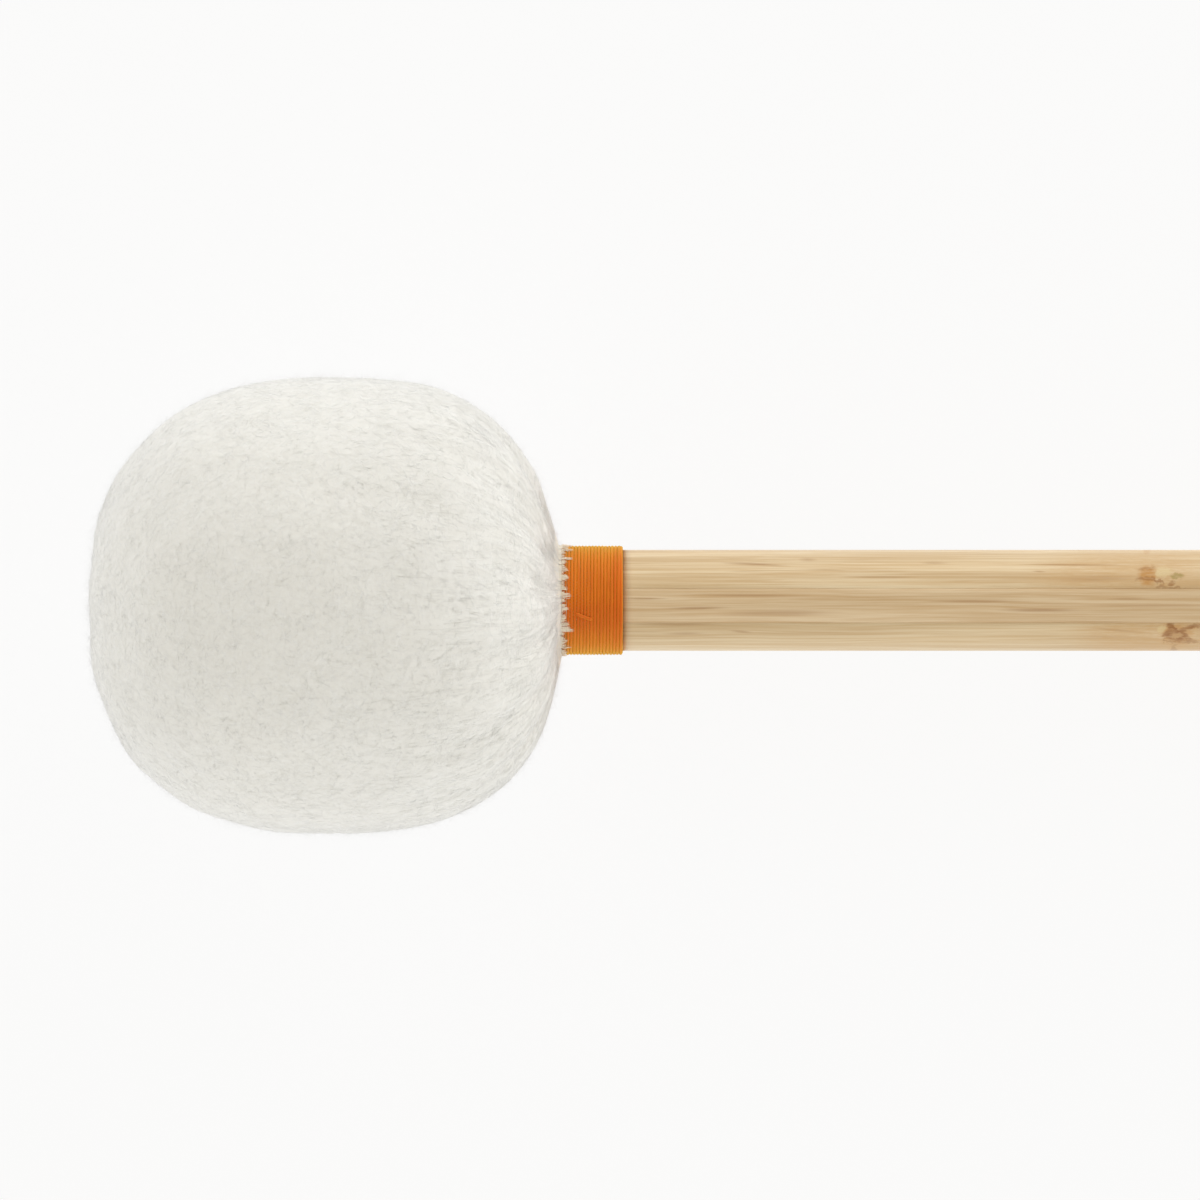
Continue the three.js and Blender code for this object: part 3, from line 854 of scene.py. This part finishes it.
def fibre_piece(name, path, outward, width, shade, flatness, material):
    """One mesh of tapered fibres, with their shade and the place along them kept on it."""
    count, rings = path.shape[:2]
    steps = rings - 1
    taper = np.linspace(1, TIP_TAPER, rings)
    radii = np.repeat((width[:, None] / 2 * taper)[..., None], 3, -1)
    turns = np.broadcast_to(QUARTER + WHOLE * np.arange(3) / 3, radii.shape)
    rings_of_points = around_path(path, outward, radii, turns, flatness)
    body = rings_of_points[:, :steps].reshape(count, 3 * steps, 3)
    points = np.concatenate([body, path[:, -1:]], 1).reshape(-1, 3)
    # Smooth shading would darken the edges of flattened fibres.
    smooth = flatness == 1
    piece = make_piece(name, points, fibre_faces(count, steps), material, smooth)
    along = np.tile(np.append(np.repeat(np.arange(steps), 3), steps) / steps, count)
    shades = np.repeat(shade, 3 * steps + 1)
    for key, values in (("shade", shades), ("along", along)):
        attribute = piece.data.attributes.new(key, "FLOAT", "POINT")
        attribute.data.foreach_set("value", values.astype(np.float32))
    # The map for baking lays fibres out by their shade, with some width, and from root to tip.
    nudge = np.tile(np.append(np.tile([-1, 0, 1], steps), 0), count) * BAKE_NUDGE
    corners = np.empty(len(piece.data.loops), np.int32)
    piece.data.loops.foreach_get("vertex_index", corners)
    layout = BAKE_MARGIN + (1 - 2 * BAKE_MARGIN) * np.stack([shades, along], -1)
    layout[:, 0] += nudge
    layout = layout[corners]
    bake_map = piece.data.uv_layers.new(name="OFBake")
    bake_map.uv.foreach_set("vector", layout.astype(np.float32).ravel())


def head_fibres(s, angle, heading, curl, length, low, high, steps=3):
    """Centre lines along the head. heading is 0 towards the neck; low and high are heights."""
    rings = []
    for step in range(steps + 1):
        share = step / steps
        rings.append(head_point(s, angle, low + (high - low) * share**2))
        turn = heading + curl * share
        radius = np.maximum(np.interp(s, ARC, PROFILE_R), SMALLEST_RING)
        s = np.clip(s - length / steps * np.cos(turn), 0, WHOLE_ARC)
        angle = angle + length / steps * np.sin(turn) / radius
    return np.stack(rings, 1)


def roots(count):
    """Places on the head, as many on each square of its surface."""
    area = np.cumsum(PROFILE_R * np.gradient(ARC))
    s = np.interp(rng.uniform(0, 1, count) * area[-1], area, ARC)
    return s, rng.uniform(0, WHOLE, count)


def shades_at(place, strength):
    """Shades that differ from fibre to fibre, and by the strength from lock to lock."""
    own = rng.normal(0, SHADE_SPREAD, len(place))
    return np.clip(SHADE_MIDDLE + strength * locks(place) + own, 0, 1)


def lying_fibres(material):
    """The pile: fibres that lie at random in front and run straight to the neck behind."""
    count = LYING_FIBRES
    s, angle = roots(count)
    place = head_point(s, angle, 0.0)
    straight = np.clip((LOOSE_REACH - s) / (LOOSE_REACH - STRAIGHT_REACH), 0, 1)
    loose = rng.uniform(0, WHOLE, count)
    tidy = STRAIGHT_SWAY * flow(place) + rng.normal(0, STRAIGHT_TURN, count)
    heading = np.where(rng.uniform(size=count) < straight, tidy, loose)
    length = rng.uniform(*LYING_LENGTH, count) + STRAIGHT_EXTRA * straight
    curl = rng.normal(0, LYING_CURL, count) * (1 - STRAIGHT_CALM * straight)
    low = rng.uniform(*LYING_LOW, count)
    high = low + np.abs(rng.normal(*LYING_RISE, count))
    width = FIBRE_WIDTH * rng.uniform(*LYING_WIDTH, count)
    path = head_fibres(s, angle, heading, curl, length, low, high)
    shade = shades_at(place, LYING_LOCKS)
    fibre_pieces("fleece_pile", path, path - HEAD_MIDDLE, width, shade, FLATNESS, material)


def flying_fibres(material):
    """Thin loose fibres that stand out of the pile and soften the outline."""
    count = FLYING_FIBRES
    s, angle = roots(count)
    length = rng.uniform(*FLYING_LENGTH, count)
    heading = rng.uniform(0, WHOLE, count)
    curl = rng.normal(0, FLYING_CURL, count)
    high = np.clip(rng.exponential(FLYING_HEIGHT, count), *FLYING_LIMITS)
    width = FIBRE_WIDTH * rng.uniform(*FLYING_WIDTH, count)
    path = head_fibres(s, angle, heading, curl, length, 0.0, high, steps=4)
    shade = rng.uniform(*FLYING_SHADES, count)
    fibre_pieces("fleece_fuzz", path, path - HEAD_MIDDLE, width, shade, 1.0, material)


def combed_fibres(material):
    """Longer fibres, drawn over the gathers towards the neck."""
    count = COMBED_FIBRES
    # The nearer to the neck, the more of them there are.
    s = COMBED_REACH * WHOLE_ARC * (1 - np.sqrt(rng.uniform(0.0, 0.98, count)))
    angle = rng.uniform(0, WHOLE, count)
    place = head_point(s, angle, 0.0)
    length = rng.uniform(*COMBED_LENGTH, count)
    heading = rng.normal(0, COMBED_TURN, count)
    curl = rng.normal(0, COMBED_CURL, count)
    low = rng.uniform(*COMBED_LOW, count)
    high = low + np.abs(rng.normal(*COMBED_RISE, count))
    width = FIBRE_WIDTH * rng.uniform(*COMBED_WIDTH, count)
    path = head_fibres(s, angle, heading, curl, length, low, high, steps=5)
    shade = shades_at(place, COMBED_LOCKS)
    fibre_pieces("fleece_combed", path, path - HEAD_MIDDLE, width, shade, FLATNESS, material)


def neck_fringe(material):
    """Tufts of the fleece's edge, which leave the head and lie over the binding's first turns."""
    count = FRINGE_TUFTS * FRINGE_FIBRES
    shift = rng.uniform(-FRINGE_SHIFT, FRINGE_SHIFT, FRINGE_TUFTS)
    angles = WHOLE * (np.arange(FRINGE_TUFTS) + shift) / FRINGE_TUFTS
    widths = rng.uniform(*FRINGE_TUFT_WIDTH, FRINGE_TUFTS)
    ends = FRINGE_SHORTEST + rng.exponential(FRINGE_EXTRA, FRINGE_TUFTS)
    tufts_of_fringe = np.stack([angles, widths, np.minimum(ends, FRINGE_LONGEST)])
    tuft_angle, tuft_width, tuft_end = np.repeat(tufts_of_fringe, FRINGE_FIBRES, 1)
    across = rng.uniform(-0.5, 0.5, count)
    ragged = rng.normal(0, FRINGE_RAGGED, count)
    end = (tuft_end + ragged - FRINGE_POINT * np.abs(across))[:, None]
    share = np.linspace(0, 1, FRINGE_STEPS)
    profile_x, profile_r = np.array(FRINGE_PROFILE).T
    x = profile_x[0] + (end - profile_x[0]) * share
    lift = rng.uniform(*FRINGE_LIFT, count)[:, None] * np.sin(math.pi * share)
    radius = np.interp(x, profile_x, profile_r) + lift
    angle = (tuft_angle + across * tuft_width / THREAD_PATH)[:, None]
    stray = rng.normal(0, FRINGE_STRAY, count)[:, None] * share
    over = on_circle(x, radius, angle + stray)
    back = FRINGE_ROOT * rng.uniform(0.5, 1, count)[:, None] * np.array([1, 0.5, 0.1])
    path = np.concatenate([head_point(back, angle, FRINGE_ROOT_HEIGHT), over], 1)
    width = FIBRE_WIDTH * rng.uniform(*FRINGE_WIDTH, count)
    shade = rng.uniform(0, 1, count)
    outward = path * (0, 1, 1)
    fibre_pieces("neck_fringe", path, outward, width, shade, FRINGE_FLATNESS, material)


# Binding
def thread_piece(name, path, material):
    """A thread of twisted plies along a path."""
    length = np.concatenate([[0], np.cumsum(np.linalg.norm(np.diff(path, axis=0), axis=1))])
    ring = np.arange(THREAD_SIDES)
    turns = np.broadcast_to(WHOLE * ring / THREAD_SIDES, (len(path), THREAD_SIDES))
    ply = np.abs(np.cos(PLIES / 2 * (turns - WHOLE * length[:, None] / THREAD_LAY)))
    radii = THREAD_RADIUS * (1 - PLY_DEPTH + PLY_DEPTH * ply)
    points = around_path(path, path * (0, 1, 1), radii, turns)
    ends = np.array([ring[::-1], (len(path) - 1) * THREAD_SIDES + ring])
    faces = [ring_faces(len(path), THREAD_SIDES), ends]
    return make_piece(name, points.reshape(-1, 3), faces, material)


def binding_winding(material):
    """The binding's outer layer: close turns that step down to the shaft at their end."""
    steps = int(THREAD_TURNS * WHOLE * THREAD_PATH / THREAD_STEP)
    turns = np.linspace(0, THREAD_TURNS, steps)
    wander = waves(6, WANDER_TURNS, 8)(np.stack([turns, 0 * turns, 0 * turns], -1))
    left = THREAD_TURNS - turns
    # The first and the last turn lie square to the axis, and the ends dive under them.
    along = np.clip((turns - SQUARE_TURN) / (THREAD_TURNS - 2 * SQUARE_TURN), 0, 1)
    x = THREAD_START + (THREAD_END - THREAD_START) * along
    lowered = np.clip(1 - left / STEP_TURNS, 0, 1)
    tucked = np.exp(-turns / TUCK_TURNS) + np.exp(-left / TUCK_TURNS)
    radius = THREAD_PATH + WANDER * wander - STEP_DOWN * lowered**2 - TUCK_DEPTH * tucked
    path = on_circle(x, radius, WHOLE * turns + FIRST_ANGLE)
    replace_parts(thread_piece("binding_winding", path, material), "binding_thread")


def binding_tail(material):
    """The thread's end, laid slantwise over the turns and tucked under them."""
    x = np.linspace(*TAIL_X, TAIL_STEPS)
    angle = np.radians(np.linspace(*TAIL_ANGLES, TAIL_STEPS))
    from_middle = np.abs(np.linspace(-1, 1, TAIL_STEPS))
    dive = np.clip(from_middle - 1 + TAIL_DIVE, 0, 1) / TAIL_DIVE
    radius = THREAD_PATH + THREAD_RADIUS * (TAIL_HEIGHT - (TAIL_HEIGHT + TAIL_DEPTH) * dive)
    thread_piece("binding_tail", on_circle(x, radius, angle), material)


# Shaft
def shaft_stations():
    """Places along the shaft, and its radius at each."""
    edge = np.linspace(0, QUARTER, BUTT_RINGS)
    spigot = np.linspace(SPIGOT_FRONT, SHOULDER, SPIGOT_RINGS)
    length = np.arange(SHOULDER, BUTT - BUTT_ROUNDING, STATION)
    butt = BUTT - BUTT_ROUNDING * (1 - np.sin(edge))
    x = np.concatenate([spigot, length, butt])
    rounded = SHAFT_RADIUS - BUTT_ROUNDING * (1 - np.cos(edge))
    radius = [np.full(SPIGOT_RINGS, SPIGOT_RADIUS), np.full(len(length), SHAFT_RADIUS), rounded]
    return x, np.concatenate(radius)


def board_section(radius, low, high):
    """A board's outline across the shaft, as [Y, Z] points round it."""
    cut_low, cut_high = low > -SHAFT_RADIUS, high < SHAFT_RADIUS
    first = math.asin(low / radius) if cut_low else -QUARTER
    last = math.asin(high / radius) if cut_high else QUARTER
    soft = ARRIS / radius
    steps = FEWEST_ARC_POINTS + round((high - low) / ARC_STEP)
    turn = np.linspace(first + soft * cut_low, last - soft * cut_high, steps)
    front = np.stack([radius * np.sin(turn), radius * np.cos(turn)], -1)
    back = front[::-1] * (1, -1)
    section = [*front]
    if cut_high:
        reach = radius * math.cos(last) - ARRIS
        section += [(high, z) for z in np.linspace(reach, -reach, GLUE_POINTS)]
        section += [*back]
    else:
        section += [*back[1:]]
    if cut_low:
        reach = radius * math.cos(first) - ARRIS
        section += [(low, z) for z in np.linspace(-reach, reach, GLUE_POINTS)]
    else:
        section.pop()
    return np.array(section)


def shaft_board(name, node, low, high, material):
    """A board from its front in the head to the butt, between two heights along Y."""
    x, radius = shaft_stations()
    across = np.array([board_section(around, low, high) for around in radius])
    along = np.broadcast_to(x[:, None, None], (*across.shape[:2], 1))
    sections = np.concatenate([along, across], -1)
    around = sections.shape[1]
    ends = np.array([np.arange(around), (len(x) - 1) * around + np.arange(around)[::-1]])
    faces = [ring_faces(len(x), around)[:, ::-1], ends]
    piece = make_piece(name, sections.reshape(-1, 3), faces, material)
    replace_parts(piece, node)


def board(side, low, high, knot, marks, dark, light, node_slot):
    material = bamboo_material(f"bamboo_{side}", STREAKS[side], knot, marks, dark, light)
    shaft_board(f"bamboo_board_{side}", f"shaft_board_{side}", low, high, material)


def shaft():
    far_tones = srgb(224, 198, 155), srgb(245, 224, 186)
    middle_tones = srgb(218, 190, 147), srgb(237, 213, 175)
    near_tones = srgb(218, 192, 148), srgb(239, 219, 181)
    board("far", FAR_GLUE, SHAFT_RADIUS, FAR_KNOT, OPEN_MARKS, *far_tones, "bamboo")
    board("middle", NEAR_GLUE, FAR_GLUE, MIDDLE_KNOT, OPEN_MARKS, *middle_tones, "pale_bamboo")
    board("near", -SHAFT_RADIUS, NEAR_GLUE, NEAR_KNOT, CLOSED_MARKS, *near_tones, "bamboo")


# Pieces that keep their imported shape, inside the head and under the binding
def dress_inner_nodes(thread_finish):
    finishes = {name: hidden_material(name, *values) for name, values in HIDDEN_FINISHES.items()}
    finishes["orange_thread"] = thread_finish
    for node, name in HIDDEN_NODES.items():
        mesh = frame["nodes"][node].data
        mesh.materials.clear()
        mesh.materials.append(finishes[name])


# Floor, light and camera
def seen_share(tree):
    """1 where the camera, a gloss or a fibre shows what is there, and 0 for plain light from it."""
    ray = add_node(tree, "ShaderNodeLightPath").outputs
    seen = calculate(tree, "MAXIMUM", ray["Is Camera Ray"], ray["Is Glossy Ray"])
    return calculate(tree, "MAXIMUM", seen, ray["Is Transmission Ray"])


def floor():
    """A white floor that shows as white, takes a faint shadow and lights the mallet from below."""
    material, tree, shader = new_material("floor_white", 0.9, 0.0)
    shader.inputs["Base Color"].default_value = srgb(248, 248, 248)
    seen = seen_share(tree)
    strength = calculate(tree, "MULTIPLY_ADD", seen, 1 - FLOOR_LIGHT, FLOOR_LIGHT)
    glow = add_node(tree, "ShaderNodeEmission", [("Strength", strength)])
    share = calculate(tree, "MULTIPLY_ADD", seen, FLOOR_SEEN_GLOW - FLOOR_GLOW, FLOOR_GLOW)
    show_through(tree, share, shader, glow)
    low, high = -FLOOR_HALF, FLOOR_HALF
    mesh = bpy.data.meshes.new("floor")
    corners = [(low, low, 0), (high, low, 0), (high, high, 0), (low, high, 0)]
    mesh.from_pydata(corners, [], [(0, 1, 2, 3)])
    mesh.materials.append(material)
    plane = bpy.data.objects.new("floor", mesh)
    bpy.context.scene.collection.objects.link(plane)


def surroundings():
    """Light all round, bright and white from the sides, weaker and warmer from above.

    Where it is seen, it is plain white.
    """
    world = bpy.data.worlds.new("surroundings")
    bpy.context.scene.world = world
    world.use_nodes = True
    tree = world.node_tree
    background = tree.nodes["Background"]
    direction = add_node(tree, "ShaderNodeTexCoord").outputs["Generated"]
    parts = add_node(tree, "ShaderNodeSeparateXYZ", [(0, direction)]).outputs
    light = remap(tree, parts["Z"], 0.0, 1.0, HORIZON_LIGHT, ZENITH_LIGHT)
    favour = calculate(tree, "MULTIPLY_ADD", parts["Y"], FAR_FAVOUR, 1.0)
    light = calculate(tree, "MULTIPLY", light, favour)
    seen = seen_share(tree)
    shown = add_node(tree, "ShaderNodeMix", [(0, seen), (2, light), (3, 1.0)]).outputs[0]
    warmth = calculate(tree, "SUBTRACT", remap(tree, parts["Z"], 0.2, 1.0), seen, clamp=True)
    colour = mixed(tree, warmth, srgb(255, 255, 255), srgb(255, 250, 238))
    tree.links.new(shown, background.inputs["Strength"])
    tree.links.new(colour, background.inputs["Color"])


def softbox(name, direction, size, power):
    """A square lamp that faces the middle of the view and isn't seen itself."""
    lamp = bpy.data.lights.new(name, "AREA")
    lamp.shape = "SQUARE"
    lamp.size = size
    lamp.energy = power
    box = bpy.data.objects.new(name, lamp)
    away = Vector(direction).normalized()
    box.location = view_centre + away * SOFTBOX_DISTANCE
    box.rotation_euler = away.to_track_quat("Z", "Y").to_euler()
    box.visible_camera = False
    bpy.context.scene.collection.objects.link(box)


def camera():
    """The photograph's view: square to the shaft, with the mallet's far side up."""
    lens = bpy.data.cameras.new("camera")
    lens.sensor_width = SENSOR_WIDTH
    lens.lens = SENSOR_WIDTH * CAMERA_DISTANCE / (PHOTO_WIDTH / PHOTO_SCALE)
    lens.clip_end = FARTHEST_SEEN
    eye = bpy.data.objects.new("camera", lens)
    eye.location = view_centre + top * CAMERA_DISTANCE
    eye.rotation_euler = MALLET_TURN
    bpy.context.scene.collection.objects.link(eye)
    bpy.context.scene.camera = eye


fibres = fibre_material(
    "fleece_fibres", srgb(226, 225, 218), srgb(252, 252, 249), srgb(248, 248, 246), 0.3
)
fuzz = fibre_material(
    "fleece_fuzz_fibres", srgb(251, 252, 251), srgb(254, 254, 254), srgb(254, 254, 254), 0.85
)
# The fringe's tips are tinted peach: painted light bounced from the orange thread.
fringe = fibre_material(
    "fringe_fibres", srgb(254, 246, 230), srgb(255, 254, 248), srgb(254, 228, 190), 0.05
)
thread = thread_material()
head_cover(fleece_floor_material())
lying_fibres(fibres)
flying_fibres(fuzz)
combed_fibres(fibres)
neck_fringe(fringe)
binding_winding(thread)
binding_tail(thread)
shaft()
dress_inner_nodes(thread)

floor()
surroundings()
for softbox_name, settings in SOFTBOXES.items():
    softbox(softbox_name, *settings)
camera()
bpy.context.scene.view_settings.view_transform = "Standard"
